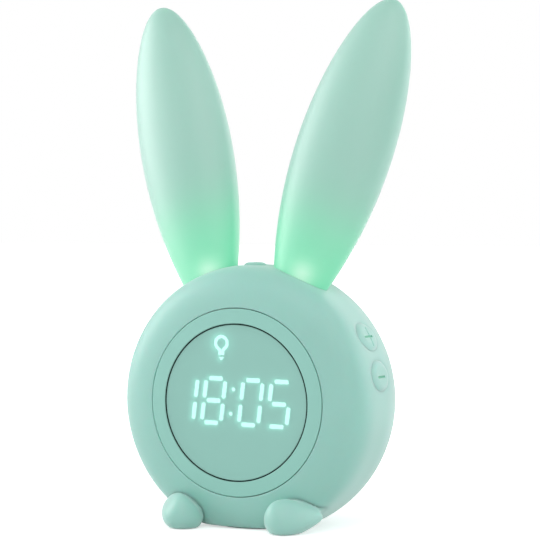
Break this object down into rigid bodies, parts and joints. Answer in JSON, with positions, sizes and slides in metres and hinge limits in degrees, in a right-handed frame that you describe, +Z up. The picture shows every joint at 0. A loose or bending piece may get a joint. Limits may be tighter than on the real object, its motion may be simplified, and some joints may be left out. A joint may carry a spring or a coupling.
{
  "type": "alarm clock",
  "caption": "Round silicone-clad digital alarm clock and night light with a flat display face, tall lit ears, feet and sprung push buttons.",
  "frame": {"origin": "on the table, in the middle of the flat base, straight under the round body's level axis at its widest plane", "axes": "+Z up, -Y out of the display face, +X towards the plus and minus buttons"},
  "size_m": [0.1124, 0.0679, 0.194],
  "materials": {
    "mint_silicone": "soft matte silicone",
    "grey_silicone": "soft matte silicone",
    "ear_silicone": "milky translucent silicone",
    "white_shell": "moulded, fine texture",
    "rear_shell": "moulded, fine texture",
    "bezel_plastic": "satin",
    "dark_rubber": "matte",
    "tinted_lens": "tinted and lightly frosted",
    "mask_plastic": "matte",
    "lit_light_pipe": "clear, lit from behind",
    "unlit_light_pipe": "clear",
    "circuit_board": "solder resist",
    "black_resin": "moulded",
    "white_nylon": "moulded",
    "led_resin": "clear resin",
    "steel_screw": "zinc plated",
    "bright_steel": "nickel plated",
    "battery_pouch": "laminated foil",
    "foam_ring": "closed foam",
    "red_lead": "insulated lead"
  },
  "bodies": {
    "clock": {"silicone_skin": "mint_silicone", "front_shell": "white_shell", "rear_shell": "rear_shell", "shell_screws": "steel_screw", "base_pad": "grey_silicone", "face_bezel": "bezel_plastic", "lens_gasket": "dark_rubber", "display_lens": "tinted_lens", "segment_mask": "mask_plastic", "lit_segments": "lit_light_pipe", "unlit_segments": "unlit_light_pipe", "lamp_sign": "lit_light_pipe", "display_board": "circuit_board", "segment_leds": "led_resin", "display_screws": "steel_screw", "main_board": "circuit_board", "board_chips": "black_resin", "lead_connectors": "white_nylon", "board_header": "black_resin", "tactile_switches": "black_resin", "board_screws": "steel_screw", "battery_cell": "battery_pouch", "battery_cradle": "white_nylon", "battery_lead": "red_lead", "speaker": "black_resin", "speaker_gasket": "foam_ring", "speaker_lead": "red_lead", "usb_socket": "bright_steel", "usb_board": "circuit_board", "usb_lead": "red_lead", "left_foot": "mint_silicone", "right_foot": "mint_silicone", "foot_screws": "steel_screw", "left_ear": "ear_silicone", "right_ear": "ear_silicone", "left_ear_collar": "white_nylon", "right_ear_collar": "white_nylon", "left_ear_board": "circuit_board", "right_ear_board": "circuit_board", "ear_leds": "led_resin", "collar_screws": "steel_screw", "left_ear_lead": "red_lead", "right_ear_lead": "red_lead"},
    "plus_button": {"plus_button": "mint_silicone"},
    "minus_button": {"minus_button": "mint_silicone"},
    "top_button": {"top_button": "mint_silicone"},
    "mode_button": {"mode_button": "mint_silicone"},
    "alarm_button": {"alarm_button": "mint_silicone"}
  },
  "joints": [
    {"name": "plus_press", "type": "slide", "parent": "clock", "child": "plus_button", "axis": [-0.8746, 0, -0.4848], "range_m": [0, 0.0008], "stiffness_N_per_m": 1000, "springref_m": -0.0006},
    {"name": "minus_press", "type": "slide", "parent": "clock", "child": "minus_button", "axis": [-0.9796, 0, -0.2011], "range_m": [0, 0.0008], "stiffness_N_per_m": 1000, "springref_m": -0.0006},
    {"name": "top_press", "type": "slide", "parent": "clock", "child": "top_button", "axis": [0, 0, -1], "range_m": [0, 0.0008], "stiffness_N_per_m": 1000, "springref_m": -0.0006},
    {"name": "mode_press", "type": "slide", "parent": "clock", "child": "mode_button", "axis": [0.8746, 0, -0.4848], "range_m": [0, 0.0008], "stiffness_N_per_m": 1000, "springref_m": -0.0006},
    {"name": "alarm_press", "type": "slide", "parent": "clock", "child": "alarm_button", "axis": [0.9796, 0, -0.2011], "range_m": [0, 0.0008], "stiffness_N_per_m": 1000, "springref_m": -0.0006}
  ]
}
